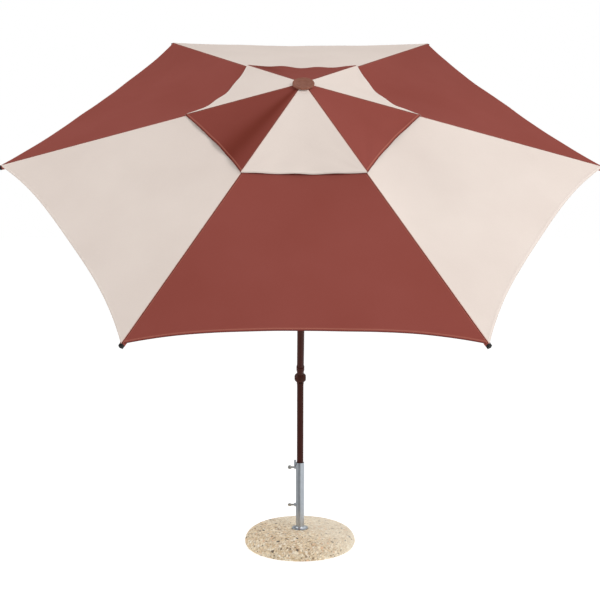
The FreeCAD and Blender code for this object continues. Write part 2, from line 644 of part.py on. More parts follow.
def make_runner():
    """Sliding runner: sleeve, rim, a slotted lug for each strut, and the latch boss."""
    inner_r = (RUNNER_BORE_R + RUNNER_R) / 2
    low = RUNNER_Z - RUNNER_DOWN
    high = RUNNER_Z + RUNNER_UP
    latch_z = RUNNER_Z - LATCH_Z
    sleeve = cylinder(RUNNER_R, low, high).fuse(cylinder(RUNNER_RIM_R, low, low + RUNNER_RIM_T))
    half = LUG_SLOT / 2 + LUG_T
    lug = box(inner_r, LUG_OUT, -half, half, RUNNER_Z - LUG_HALF_H, RUNNER_Z + LUG_HALF_H)
    corners = [edge for edge in edges_along(lug, AXIS_Y) if edge.CenterOfMass.x > CROWN_HINGE_R]
    lug = lug.makeFillet(LUG_ROUND, corners)
    slot = box(RUNNER_R, LUG_OUT + OVER, -LUG_SLOT / 2, LUG_SLOT / 2,
               RUNNER_Z - LUG_HALF_H - OVER, RUNNER_Z + LUG_HALF_H + OVER)
    lug = lug.cut(slot)
    boss = cylinder_front(LATCH_BOSS_R, inner_r, LATCH_BOSS_OUT - inner_r, latch_z)
    runner = sleeve.fuse([turned_about_z(lug, angle) for angle in RIB_TURNS] + [boss])
    runner = runner.cut(cylinder(RUNNER_BORE_R, low - OVER, high + OVER))
    latch_bore = cylinder_front(LATCH_R + CLEAR, LATCH_FLOOR, LATCH_BOSS_OUT, latch_z)
    rivets = runner_rivets()
    runner = runner.removeSplitter().cut([latch_bore] + rivets)
    save_leaning("runner", runner)
    save_leaning("runner_rivets", *rivets)


def runner_rivets():
    """A headed stub in each cheek of each lug."""
    cheek = LUG_SLOT / 2
    face = cheek + LUG_T
    shank = cylinder_y(PIN_R, cheek, face, CROWN_HINGE_R, RUNNER_Z)
    head = cylinder_y(RIVET_HEAD_R, face, face + RIVET_HEAD_T, CROWN_HINGE_R, RUNNER_Z)
    rivet = shank.fuse(head).removeSplitter()
    pair = [rivet, rivet.mirror(Vec(0, 0, 0), AXIS_Y)]
    return [turned_about_z(stub, angle) for stub in pair for angle in RIB_TURNS]


def make_runner_latch():
    latch_z = RUNNER_Z - LATCH_Z
    button = cylinder_front(LATCH_R, LATCH_REAR, LATCH_BOSS_OUT + LATCH_PROUD - LATCH_REAR, latch_z)
    rim = [edge for edge in round_edges(button) if edge.CenterOfMass.y < -LATCH_BOSS_OUT]
    save_leaning("runner_latch", button.makeFillet(LATCH_ROUND, rim))
    room = LATCH_REAR - LATCH_FLOOR
    start = Vec(0, -LATCH_FLOOR - SPRING_WIRE_R - CLEAR / 2, latch_z)
    coil = spring(LATCH_R - LATCH_WALL, room - 2 * SPRING_WIRE_R - CLEAR, start, -AXIS_Y)
    save_leaning("latch_spring", coil)


# ------------------------------------------------------------------ canopy

def make_panel(inner_r, outer_r, hollow, lift, index):
    """Flat panel of a hexagonal pyramid between two ribs, with a hem that curves inwards.

    Its own plane has x across the panel and y down the slope from the apex.
    """
    slant = math.cos(HALF_SECTOR) * math.hypot(1, PANEL_FALL)
    half_angle = math.atan2(math.sin(HALF_SECTOR), slant)
    seam = SEAM_GAP / math.cos(half_angle)
    half_in = inner_r * math.sin(HALF_SECTOR) - seam
    half_out = outer_r * math.sin(HALF_SECTOR) - seam
    y_in = inner_r * slant
    y_out = outer_r * slant
    low = -FABRIC_T / 2
    sides = [(-half_in, y_in), (-half_out, y_out), (half_out, y_out), (half_in, y_in)]
    a, b, c, d = [Vec(x, y, low) for x, y in sides]
    edges = [Part.LineSegment(a, b).toShape(),
             Part.Arc(b, Vec(0, y_out - hollow, low), c).toShape(),
             Part.LineSegment(c, d).toShape(),
             Part.LineSegment(d, a).toShape()]
    panel = Part.Face(Part.Wire(edges)).extrude(Vec(0, 0, FABRIC_T))
    middle = (index + 0.5) * 2 * HALF_SECTOR
    fall = math.atan(PANEL_FALL)
    down = Vec(math.cos(middle) * math.cos(fall), math.sin(middle) * math.cos(fall), -math.sin(fall))
    across = Vec(math.sin(middle), -math.cos(middle), 0)
    normal = across.cross(down)
    apex_z = TIP_Z + CANOPY_R * FALL + lift
    panel.Placement = FreeCAD.Placement(FreeCAD.Matrix(
        across.x, down.x, normal.x, 0,
        across.y, down.y, normal.y, 0,
        across.z, down.z, normal.z, apex_z,
        0, 0, 0, 1))
    return panel


def make_canopy():
    for index in range(RIB_COUNT):
        name = str(index + 1)
        save_leaning("main_gore_" + name, make_panel(MAIN_INNER_R, CANOPY_R, HEM_HOLLOW, 0, index))
        save_leaning("vent_gore_" + name,
                     make_panel(VENT_INNER_R, VENT_R, VENT_HEM_HOLLOW, VENT_LIFT, index))


def report_motion():
    """Print the sizes that the joints need."""
    print("crown hinge height above the floor, upright: %.3f" % CROWN_Z)
    print("runner pivot height, upright: %.3f" % RUNNER_Z)
    print("runner travel: %.3f" % RUNNER_TRAVEL)
    print("strut length %.3f, strut angle %.3f degrees" % (STRUT_LENGTH, math.degrees(STRUT_ANGLE)))
    print("rib length %.3f, rib drop %.3f" % (RIB_LENGTH, RIB_DROP))


def main():
    os.makedirs("parts", exist_ok=True)
    make_concrete_base()
    make_base_tube()
    make_base_flange()
    make_screw_nuts()
    make_tube_tab()
    make_screws()
    make_lower_pole()
    make_knuckle_shells()
    make_pivot()
    make_tilt_button()
    make_tongue()
    make_collar()
    make_upper_pole()
    make_crown()
    make_finial()
    make_ribs()
    make_runner()
    make_runner_latch()
    make_canopy()
    report_motion()


main()
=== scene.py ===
"""Looks of a tilting patio parasol: six red and ecru gores, vent cap, painted mast, washed-concrete base.

Metres, +Z up, origin under the middle of the base, canopy leaning towards -Y.
"""
import bpy
import json
import math
from itertools import product
import numpy as np
from mathutils import Matrix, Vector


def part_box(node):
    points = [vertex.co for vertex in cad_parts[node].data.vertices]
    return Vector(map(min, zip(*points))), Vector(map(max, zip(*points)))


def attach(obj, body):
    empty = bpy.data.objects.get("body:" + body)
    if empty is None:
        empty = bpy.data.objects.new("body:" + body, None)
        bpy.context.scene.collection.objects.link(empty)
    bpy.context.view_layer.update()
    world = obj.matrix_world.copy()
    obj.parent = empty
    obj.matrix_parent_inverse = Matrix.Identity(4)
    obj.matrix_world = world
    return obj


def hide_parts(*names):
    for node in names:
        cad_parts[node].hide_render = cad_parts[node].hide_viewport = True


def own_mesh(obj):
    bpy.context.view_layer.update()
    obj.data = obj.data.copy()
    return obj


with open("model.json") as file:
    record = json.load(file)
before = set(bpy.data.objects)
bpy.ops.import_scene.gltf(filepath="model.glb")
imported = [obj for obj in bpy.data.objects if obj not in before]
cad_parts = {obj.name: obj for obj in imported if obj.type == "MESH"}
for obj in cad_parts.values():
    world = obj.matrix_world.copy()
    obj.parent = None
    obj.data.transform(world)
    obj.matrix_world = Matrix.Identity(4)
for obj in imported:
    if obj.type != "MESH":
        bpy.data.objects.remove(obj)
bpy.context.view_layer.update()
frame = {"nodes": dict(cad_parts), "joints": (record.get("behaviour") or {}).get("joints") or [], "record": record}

NODES = frame["nodes"]
JOINTS = {joint["name"]: joint for joint in frame["joints"]}
RIBS = 6
SECTOR = 2 * math.pi / RIBS
TAN_HALF = math.tan(SECTOR / 2)

# ---- the leaning canopy's own axes: x to the side, y to the back, z up the mast, origin in the crown
MAST = -np.array(JOINTS["runner_slide"]["axis"])
SIDE = np.array([1.0, 0.0, 0.0])
BACK = np.cross(MAST, SIDE)
AXES = np.array([SIDE, BACK, MAST])
HINGES = np.array([JOINTS["rib_%d_fold" % (k + 1)]["pos_m"] for k in range(RIBS)])
CROWN = HINGES.mean(axis=0)

# ---- fabric
CLOTH_T = 0.0010
HOLLOW = {"main": 0.064, "vent": 0.020}     # inward curve of the hem at mid gore
HEM_POWER = {"main": 3.2, "vent": 2}        # a higher power keeps the hem straighter at mid gore
HEM_SAG = 0.006             # droop of the main gores at the hem
BELLY = 0.034               # further droop, deepest just below the vent
BELLY_AT = 0.22             # where that is, as a share of the gore's length from its top
BACK_GORE = 2               # this gore lies highest and droops least
BACK_BELLY = 0.6            # its share of the droop
VENT_SAG = (0.038, 0.010, 0.038, 0.035, 0.035, 0.035)   # droop of each vent gore at mid hem
LOOSENESS = {"main": 1.0, "vent": 1.7}      # how far folds and waves show on each layer
FLUTTER = {"main": 0.0012, "vent": 0.0022}  # wave of the free hem
HEM_LINE = 0.010            # stitch line above the hem
SEAM_LINE = 0.007           # stitch line beside the seam
HALF_STITCH = 0.0022        # half the distance from one stitch to the next
HALF_GAP = 0.0006           # half the gap between two stitches
SEAM_VALLEY = 0.0008
GRID = {"main": (48, 52), "vent": (40, 40)}     # columns from seam to middle, rows from hem to top
# heights of the closely set rows above the hem
HEM_ROWS = np.array([0, 0.0015, 0.003, 0.005, 0.007, 0.0085, 0.010, 0.0115, 0.013, 0.016, 0.02])[:, None]

# ---- washed concrete
LARGE_PEBBLE = 0.0135
SMALL_PEBBLE = 0.0075
LARGE_SHARE = 0.42          # share of the cells that hold one large pebble and not several small ones
CEMENT_DEPTH = 0.0014       # how far the cement is washed out between pebbles
PEBBLE_DOME = 0.0012        # fall of a pebble's face from its centre, over one pebble size
BASE_SEGMENTS = 660
PEBBLES = (                 # share of the pebbles up to this number, colour
    (0.26, (250, 238, 212)),
    (0.48, (242, 224, 190)),
    (0.64, (232, 210, 172)),
    (0.74, (248, 240, 222)),
    (0.84, (220, 194, 152)),
    (0.88, (238, 198, 158)),
    (0.92, (190, 162, 124)),
    (0.95, (132, 108, 82)),
    (0.976, (78, 62, 48)),
    (1.01, (46, 38, 34)),
)

# ---- studio: what metal mirrors, as (place from left to right, level)
CARDS = ((0.0, 0.55), (0.22, 0.30), (0.40, 0.24), (0.52, 0.60), (0.70, 1.0), (1.0, 0.90))


# ------------------------------------------------------------------ places

def in_frame(points):
    """Canopy coordinates to the object's frame: crown + x*side + y*back + z*mast."""
    return CROWN + points @ AXES


def in_canopy(points):
    """The object's frame to canopy coordinates."""
    return (points - CROWN) @ AXES.T


def vertex_values(mesh, what):
    """Places ("co") or normals ("normal") of all vertices of a mesh."""
    flat = np.zeros(3 * len(mesh.vertices), np.float32)
    mesh.vertices.foreach_get(what, flat)
    return flat.reshape(-1, 3).astype(float)


def node_points(name):
    return vertex_values(NODES[name].data, "co")


def azimuth(k):
    """Direction of rib k, counted from 1."""
    return (k - 1) * SECTOR


class GorePlane:
    """The flat plane of gore k in canopy coordinates, measured on its solid.

    Its own coordinates are x across, towards the next rib, and y down the slope from the apex.
    """

    def __init__(self, family, k):
        points = in_canopy(node_points("%s_gore_%d" % (family, k)))
        middle = azimuth(k) + SECTOR / 2
        cos_m, sin_m = math.cos(middle), math.sin(middle)
        outward = points[:, 0] * cos_m + points[:, 1] * sin_m
        slope, self.apex = np.polyfit(outward, points[:, 2], 1)
        self.fall = math.atan(-slope)
        radius = np.hypot(points[:, 0], points[:, 1])
        self.spread = TAN_HALF * math.cos(self.fall)
        self.half_angle = math.atan(self.spread)
        stretch = math.cos(SECTOR / 2) / math.cos(self.fall)
        self.y_in = radius.min() * stretch
        self.y_out = radius.max() * stretch
        self.down = np.array([cos_m * math.cos(self.fall), sin_m * math.cos(self.fall), -math.sin(self.fall)])
        self.across = np.array([-sin_m, cos_m, 0.0])
        self.up = np.cross(self.down, self.across)

    def place(self, x, y, height):
        """apex + x*across + y*down + height*up, in the object's frame."""
        top = np.array([0.0, 0.0, self.apex])
        local = top + x[..., None] * self.across + y[..., None] * self.down + height[..., None] * self.up
        return in_frame(local)


# ------------------------------------------------------------------ meshes from arrays

def grid_quads(rows, columns, close_rows=False, close_columns=False):
    """Quads of a grid of vertices, row by row, wrapping round where it closes."""
    row = np.arange(rows if close_rows else rows - 1)[:, None]
    column = np.arange(columns if close_columns else columns - 1)[None, :]
    next_row = (row + 1) % rows
    next_column = (column + 1) % columns
    corners = [row * columns + column, row * columns + next_column,
               next_row * columns + next_column, next_row * columns + column]
    return np.stack([np.broadcast_to(c, (row.size, column.size)) for c in corners], axis=-1).reshape(-1, 4)


def make_piece(name, points, quads, finish, fans=(), sharp=35.0):
    """Mesh from vertices, quads and fans of triangles, smooth up to the sharp angle."""
    mesh = bpy.data.meshes.new(name)
    triangles = [np.stack([np.roll(ring, -1), ring, np.full(len(ring), tip)], axis=1) for tip, ring in fans]
    triangles = np.concatenate(triangles) if triangles else np.zeros((0, 3), int)
    loops = np.concatenate([quads.ravel(), triangles.ravel()]).astype(np.int32)
    sizes = np.concatenate([np.full(len(quads), 4), np.full(len(triangles), 3)])
    starts = np.concatenate([[0], np.cumsum(sizes)[:-1]]).astype(np.int32)
    mesh.vertices.add(len(points))
    mesh.vertices.foreach_set("co", points.astype(np.float32).ravel())
    mesh.loops.add(len(loops))
    mesh.loops.foreach_set("vertex_index", loops)
    mesh.polygons.add(len(sizes))
    mesh.polygons.foreach_set("loop_start", starts)
    mesh.update(calc_edges=True)
    mesh.validate()
    mesh.polygons.foreach_set("use_smooth", np.ones(len(mesh.polygons), bool))
    mesh.set_sharp_from_angle(angle=math.radians(sharp))
    mesh.materials.append(finish)
    piece = bpy.data.objects.new(name, mesh)
    bpy.context.scene.collection.objects.link(piece)
    return piece


def paint_uv(piece, name, values):
    """UV map from two numbers at each vertex."""
    mesh = piece.data
    index = np.zeros(len(mesh.loops), np.int32)
    mesh.loops.foreach_get("vertex_index", index)
    layer = mesh.uv_layers.new(name=name)
    layer.data.foreach_set("uv", values[index].astype(np.float32).ravel())


def surface_normals(points):
    """Unit normals of a grid of points: cross product of its two difference directions."""
    normal = np.cross(np.gradient(points, axis=0), np.gradient(points, axis=1))
    return normal / np.linalg.norm(normal, axis=-1, keepdims=True)


def cloth_shell(name, points, upward, finish):
    """Closed thin sheet: the grid, the same grid lowered by its thickness, and a rim of quads."""
    rows, columns = points.shape[:2]
    normal = surface_normals(points)
    flipped = (normal @ upward).mean() < 0
    if flipped:
        normal = -normal
    lower = points - CLOTH_T * normal
    count = rows * columns
    top = grid_quads(rows, columns)
    bottom = top[:, ::-1] + count
    index = np.arange(count).reshape(rows, columns)
    border = np.concatenate([index[0, :-1], index[:-1, -1], index[-1, :0:-1], index[:0:-1, 0]])
    after = np.roll(border, -1)
    rim = np.stack([after, border, border + count, after + count], axis=1)
    quads = np.concatenate([top, bottom, rim])
    if flipped:
        quads = quads[:, ::-1]
    both = np.concatenate([points.reshape(-1, 3), lower.reshape(-1, 3)])
    return make_piece(name, both, quads, finish)


def turned_shape(name, radius, height, finish, segments=96, place=None, sharp=35.0):
    """Profile (radius, height) carried round an axis, closed at both ends by a fan to the axis."""
    turn = np.linspace(0, 2 * math.pi, segments, endpoint=False)
    rows = len(radius)
    points = np.stack([radius[:, None] * np.cos(turn), radius[:, None] * np.sin(turn),
                       np.broadcast_to(height[:, None], (rows, segments))], axis=-1).reshape(-1, 3)
    ends = np.array([[0, 0, height[0]], [0, 0, height[-1]]])
    points = np.concatenate([points, ends])
    if place is not None:
        points = place(points)
    quads = grid_quads(rows, segments, close_columns=True)
    first = np.arange(segments)
    fans = [(rows * segments, first), (rows * segments + 1, (rows - 1) * segments + first[::-1])]
    return make_piece(name, points, quads, finish, fans, sharp)


# ------------------------------------------------------------------ materials

def linear(red, green, blue):
    """Display colour, 0 to 255, to scene-linear."""
    value = np.array([red, green, blue]) / 255
    return tuple(np.where(value < 0.04045, value / 12.92, ((value + 0.055) / 1.055) ** 2.4)) + (1.0,)


class Finish:
    """A Principled material, with short calls for the nodes that these finishes share."""

    def __init__(self, name, rough, metal=0.0, gloss=0.5):
        self.material = bpy.data.materials.new(name)
        self.material.use_nodes = True
        self.tree = self.material.node_tree
        self.shader = self.tree.nodes["Principled BSDF"]
        self.shader.inputs["Roughness"].default_value = rough
        self.shader.inputs["Metallic"].default_value = metal
        self.shader.inputs["Specular IOR Level"].default_value = gloss

    def node(self, kind, **values):
        made = self.tree.nodes.new(kind)
        for key, value in values.items():
            setattr(made, key, value)
        return made

    def link(self, output, target):
        self.tree.links.new(output, target)

    def place(self, uv=None):
        """Object coordinates, or one of the piece's own UV maps."""
        if uv:
            return self.node("ShaderNodeUVMap", uv_map=uv).outputs["UV"]
        return self.node("ShaderNodeTexCoord").outputs["Object"]

    def stretched(self, coordinates, scale):
        mapping = self.node("ShaderNodeMapping")
        mapping.inputs["Scale"].default_value = scale
        self.link(coordinates, mapping.inputs["Vector"])
        return mapping.outputs["Vector"]

    def noise(self, coordinates, scale, detail=3.0):
        made = self.node("ShaderNodeTexNoise")
        made.inputs["Scale"].default_value = scale
        made.inputs["Detail"].default_value = detail
        self.link(coordinates, made.inputs["Vector"])
        return made.outputs["Fac"]

    def cells(self, coordinates, scale):
        made = self.node("ShaderNodeTexVoronoi")
        made.inputs["Scale"].default_value = scale
        self.link(coordinates, made.inputs["Vector"])
        return made

    def math(self, operation, first, second=None):
        made = self.node("ShaderNodeMath", operation=operation)
        for socket, value in zip(made.inputs, (first, second)):
            if isinstance(value, (int, float)):
                socket.default_value = value
            elif value is not None:
                self.link(value, socket)
        return made.outputs["Value"]

    def between(self, value, low, high, to_low=0.0, to_high=1.0):
        made = self.node("ShaderNodeMapRange")
        for key, number in zip(("From Min", "From Max", "To Min", "To Max"), (low, high, to_low, to_high)):
            made.inputs[key].default_value = number
        self.link(value, made.inputs["Value"])
        return made.outputs["Result"]

    def mix(self, share, first, second):
        made = self.node("ShaderNodeMix", data_type="RGBA")
        self.link(share, made.inputs["Factor"])
        for key, value in (("A", first), ("B", second)):
            socket = [s for s in made.inputs if s.name == key and s.type == "RGBA"][0]
            if isinstance(value, tuple):
                socket.default_value = value
            else:
                self.link(value, socket)
        return [s for s in made.outputs if s.type == "RGBA"][0]

    def colour(self, value):
        self.link(value, self.shader.inputs["Base Color"])

    def rough(self, value):
        self.link(value, self.shader.inputs["Roughness"])

    def bump(self, height, depth, strength=1.0):
        made = self.node("ShaderNodeBump")
        made.inputs["Distance"].default_value = depth
        made.inputs["Strength"].default_value = strength
        self.link(height, made.inputs["Height"])
        self.link(made.outputs["Normal"], self.shader.inputs["Normal"])


def stitches_along(f, run, off_line, half_width):
    """Dashes along a line: 1 where a thread lies, 0 between the dashes and beside the line."""
    dash = f.math("GREATER_THAN", f.math("PINGPONG", run, HALF_STITCH), HALF_GAP)
    return f.math("MULTIPLY", f.math("LESS_THAN", off_line, half_width), dash)


def canvas(name, body, shade, thread, edge, hem):
    """Woven polyester: fine plain weave, slow tone drift, dashed stitches along hem and seam.

    Along the seam the edge colour is painted shade of the seam valley, with seam dirt. On the hem's lip
    the hem colour is painted shade under its curl. A point attribute of painted shade deepens the tone.
    """
    f = Finish(name, rough=0.9, gloss=0.04)
    cloth = f.place("cloth")
    warp = f.noise(f.stretched(cloth, (900.0, 60.0, 1.0)), 1.0, 1.0)
    weft = f.noise(f.stretched(cloth, (60.0, 900.0, 1.0)), 1.0, 1.0)
    weave = f.math("ADD", warp, weft)
    drift = f.noise(cloth, 2.2, 3.0)
    tone = f.math("ADD", f.math("MULTIPLY", weave, 0.22), f.math("MULTIPLY", drift, 0.75))
    ground = f.mix(f.between(tone, 0.40, 0.80), body, shade)
    # painted shade: an attribute marks a shaded band on two vent gores, where a darker copy of the shade colour is
    # mixed in
    painted_shade = f.node("ShaderNodeAttribute", attribute_name="painted_shade").outputs["Fac"]
    painted_shade_colour = tuple(channel * level for channel, level in zip(shade[:3], (0.62, 0.48, 0.40))) + (1.0,)
    ground = f.mix(painted_shade, ground, painted_shade_colour)
    edges = f.node("ShaderNodeSeparateXYZ")
    f.link(f.place("edges"), edges.inputs["Vector"])
    run = f.node("ShaderNodeSeparateXYZ")
    f.link(cloth, run.inputs["Vector"])
    off_hem = f.math("ABSOLUTE", f.math("SUBTRACT", edges.outputs["Y"], HEM_LINE))
    off_seam = f.math("ABSOLUTE", f.math("SUBTRACT", edges.outputs["X"], SEAM_LINE))
    hem_stitch = stitches_along(f, run.outputs["X"], off_hem, 0.0007)
    seam_stitch = stitches_along(f, run.outputs["Y"], off_seam, 0.0006)
    ridged = f.mix(f.between(off_hem, 0.0, 0.0045, 0.35, 0.0), ground, thread)
    # painted shade of the seam valley, with seam dirt: the edge colour close to the seam
    seam = f.between(edges.outputs["X"], 0.002, 0.006, 0.8, 0.0)
    # painted shade on the hem's curled lip: the hem colour in the last millimetres above the hem
    lip = f.between(edges.outputs["Y"], 0.002, 0.005, 0.8, 0.0)
    edged = f.mix(lip, f.mix(seam, ridged, edge), hem)
    stitches = f.math("MAXIMUM", hem_stitch, seam_stitch)
    f.colour(f.mix(f.math("MULTIPLY", stitches, 0.7), edged, thread))
    f.bump(f.math("ADD", weave, f.math("MULTIPLY", stitches, 2.0)), 0.0002, 0.5)
    return f.material


def powder_coat(name, body, lighter):
    """Dark baked paint: fine orange peel and slow tone drift."""
    f = Finish(name, rough=0.42, gloss=0.16)
    place = f.place()
    f.colour(f.mix(f.noise(place, 30.0, 4.0), body, lighter))
    f.rough(f.between(f.noise(place, 260.0, 2.0), 0.3, 0.7, 0.38, 0.48))
    f.bump(f.noise(place, 900.0, 2.0), 0.00006, 0.6)
    return f.material


def galvanised(name):
    """Hot-dip zinc: spangle cells that differ in tone and gloss, long draw streaks, dull scuffs."""
    f = Finish(name, rough=0.36, metal=1.0)
    place = f.place()
    spangle = f.cells(f.stretched(place, (1.0, 1.0, 0.45)), 130.0)
    streak = f.noise(f.stretched(place, (260.0, 260.0, 5.0)), 1.0, 3.0)
    scuff = f.noise(place, 35.0, 5.0)
    tone = f.math("ADD", f.math("MULTIPLY", streak, 0.6), f.math("MULTIPLY", scuff, 0.5))
    plain = f.mix(f.between(tone, 0.35, 0.75), linear(176, 182, 188), linear(205, 210, 216))
    f.colour(f.mix(f.math("MULTIPLY", spangle.outputs["Color"], 0.25), plain, linear(160, 166, 174)))
    dulled = f.math("ADD", f.math("MULTIPLY", scuff, 0.6), f.math("MULTIPLY", streak, 0.4))
    f.rough(f.between(dulled, 0.3, 0.7, 0.28, 0.44))
    f.bump(f.math("ADD", streak, spangle.outputs["Distance"]), 0.00004, 0.5)
    return f.material


def zinc_plate(name):
    """Bright plated fasteners, slightly stained."""
    f = Finish(name, rough=0.3, metal=1.0)
    place = f.place()
    f.colour(f.mix(f.noise(place, 240.0, 4.0), linear(150, 152, 152), linear(205, 206, 202)))
    f.rough(f.between(f.noise(place, 420.0, 3.0), 0.3, 0.7, 0.24, 0.42))
    f.bump(f.noise(place, 1500.0, 2.0), 0.00003, 0.6)
    return f.material


def moulded(name, body, worn, rough=0.42, gloss=0.15):
    """Injection-moulded plastic: spark-eroded grain with handled, lighter patches."""
    f = Finish(name, rough=rough, gloss=gloss)
    place = f.place()
    f.colour(f.mix(f.between(f.noise(place, 45.0, 5.0), 0.35, 0.75), body, worn))
    f.rough(f.between(f.noise(place, 120.0, 3.0), 0.3, 0.7, rough - 0.06, rough + 0.08))
    f.bump(f.noise(place, 1800.0, 1.0), 0.00005, 0.7)
    return f.material


def washed_aggregate(name):
    """Pebble colours painted on the surface, with painted shade and light, mineral speckle and pores."""
    f = Finish(name, rough=0.85)
    place = f.place()
    pebbles = f.node("ShaderNodeAttribute", attribute_name="pebble_colour").outputs["Color"]
    grain = f.noise(place, 420.0, 4.0)
    speckle = f.mix(f.between(grain, 0.45, 0.72, 0.0, 0.35), pebbles, linear(244, 234, 214))
    pores = f.between(f.cells(place, 230.0).outputs["Distance"], 0.04, 0.22, 0.7, 0.0)
    f.colour(f.mix(pores, speckle, linear(122, 100, 74)))
    f.rough(f.between(grain, 0.3, 0.7, 0.68, 0.95))
    f.bump(f.math("ADD", grain, f.noise(place, 160.0, 3.0)), 0.0006, 0.6)
    return f.material


FINISHES = {
    # In each canvas the last two colours are painted shade: the seam valley's, with seam dirt, and the hem lip's
    "terracotta_fabric": canvas("terracotta_fabric", linear(149, 79, 71), linear(142, 72, 63),
                                linear(190, 124, 106), linear(92, 44, 37), linear(86, 42, 38)),
    "ecru_fabric": canvas("ecru_fabric", linear(235, 222, 213), linear(226, 212, 203),
                          linear(240, 229, 220), linear(228, 194, 182), linear(214, 202, 193)),
    "brown_pole_paint": powder_coat("brown_pole_paint", linear(58, 24, 16), linear(70, 30, 21)),
    "galvanised_steel": galvanised("galvanised_steel"),
    "zinc_plated_steel": zinc_plate("zinc_plated_steel"),
    "brown_moulding": moulded("brown_moulding", linear(60, 28, 20), linear(74, 38, 28)),
    "finial_brown": moulded("finial_brown", linear(132, 82, 66), linear(146, 96, 79), 0.5),
    "black_plastic": moulded("black_plastic", linear(22, 20, 20), linear(42, 38, 36)),
    "washed_concrete": washed_aggregate("washed_concrete"),
}


def finish_nodes():
    """Every carried-over node gets the finish of its slot."""
    for part in frame["record"]["subparts"]:
        mesh = NODES[part["node"]].data
        mesh.materials.clear()
        mesh.materials.append(FINISHES[part["material_slot"]])


# ------------------------------------------------------------------ canopy

def bump_curve(value, centre, width):
    """Gaussian of that centre and width, 1 at its top."""
    return np.exp(-((value - centre) / width) ** 2)


def edge_relief(to_seam, to_hem):
    """Height from the two edges: felled seam and its valley, hem ridge at the stitches, curled lip."""
    felled = 0.0006 * bump_curve(to_seam, SEAM_LINE, 0.006)
    valley = -SEAM_VALLEY * bump_curve(to_seam, 0.0, 0.003)
    ridge = 0.0012 * bump_curve(to_hem, HEM_LINE, 0.005)
    lip = -0.0030 * np.clip(1 - to_hem / 0.007, 0, 1) ** 2
    return felled + valley + ridge + lip


def corner_folds(x, y, corner_x, corner_y, turn):
    """Tension folds that fan out of a corner: a sine of the angle, fading with the distance."""
    away = np.hypot(x - corner_x, y - corner_y)
    angle = np.arctan2(corner_y - y, corner_x - x)
    return 0.0016 * np.sin(16 * angle + turn) * np.exp(-away / 0.22) * (1 - np.exp(-(away / 0.05) ** 2))


def slow_waves(x, y, turn):
    """Soft unevenness of stretched cloth: three long sines that cross each other."""
    return (0.0010 * np.sin(9 * x + 5 * y + turn) + 0.0008 * np.sin(-7 * x + 12 * y + 2 * turn)
            + 0.0004 * np.sin(31 * x + 9 * y + 3 * turn))


def droop(family, k, share, middle):
    """Sag between the ribs: (1 - across^2), here called middle, times a depth that changes down the gore.

    On the vent the depth grows as share^1.4. On the main gores it is a Gaussian round BELLY_AT,
    wider below than above, plus the sag of the hem.
    """
    if family == "vent":
        return -VENT_SAG[k - 1] * middle * share ** 1.4
    reach = np.where(share < BELLY_AT, 0.20, 0.35)
    belly = BELLY * (BACK_BELLY if k == BACK_GORE else 1.0)
    return -(HEM_SAG + belly * bump_curve(share, BELLY_AT, reach)) * middle


def painted_shade_tone(family, k, across, share):
    """Painted shade on two vent gores, from 0 to 1.

    It is a band from the crown to one corner of gore 4, and the shade of a fold at one end
    of gore 2's hem.
    Each is a Gaussian across the gore.
    """
    if family == "vent" and k == 4:
        tone = 0.42 + 0.5 * bump_curve(across, 0.38, 0.32) - 0.25 * np.clip(-across, 0, 1) * share
    elif family == "vent" and k == 2:
        tone = 0.15 + 0.7 * bump_curve(across, 0.75, 0.2) * share ** 2
    else:
        tone = np.zeros_like(share)
    return np.clip(tone, 0, 1)


def half_grid(family, side, plane):
    """Grid on the gore's plane, from its seam (side -1: rib k, side 1: the next rib) to its middle line.

    Columns go from the seam to the middle, closer near the seam. Rows go from the hem up, closer
    near the hem. The hem is y = y_out - hollow*(1 - |across|^power), with across = -1 and 1 on the
    two seams. Returns how far each column is from its seam (0 to 1), across, y and the hem's y.
    """
    columns, rows = GRID[family]
    from_seam = (np.linspace(0, 1, columns) ** 1.7)[None, :]
    across = side * (1 - from_seam)
    hem = plane.y_out - HOLLOW[family] * (1 - np.abs(across) ** HEM_POWER[family])
    upper = np.linspace(0, 1, rows)[1:, None] ** 1.15
    last = hem - HEM_ROWS[-1]
    y = np.concatenate([hem - HEM_ROWS, last - upper * (last - plane.y_in)])
    return from_seam, across, y, hem


def paint_cloth(piece, x, y, to_seam, to_hem, painted_shade):
    """The two UV maps in metres and the painted shade of one half, the same above and below."""
    for uv, first, second in (("cloth", x, y), ("edges", to_seam, to_hem)):
        values = np.stack([first, second], axis=-1).reshape(-1, 2)
        paint_uv(piece, uv, np.concatenate([values, values]))
    # painted shade of the vent gores, kept as a point attribute
    layer = piece.data.attributes.new("painted_shade", "FLOAT", "POINT")
    layer.data.foreach_set("value", np.concatenate([painted_shade.ravel(), painted_shade.ravel()]).astype(np.float32))


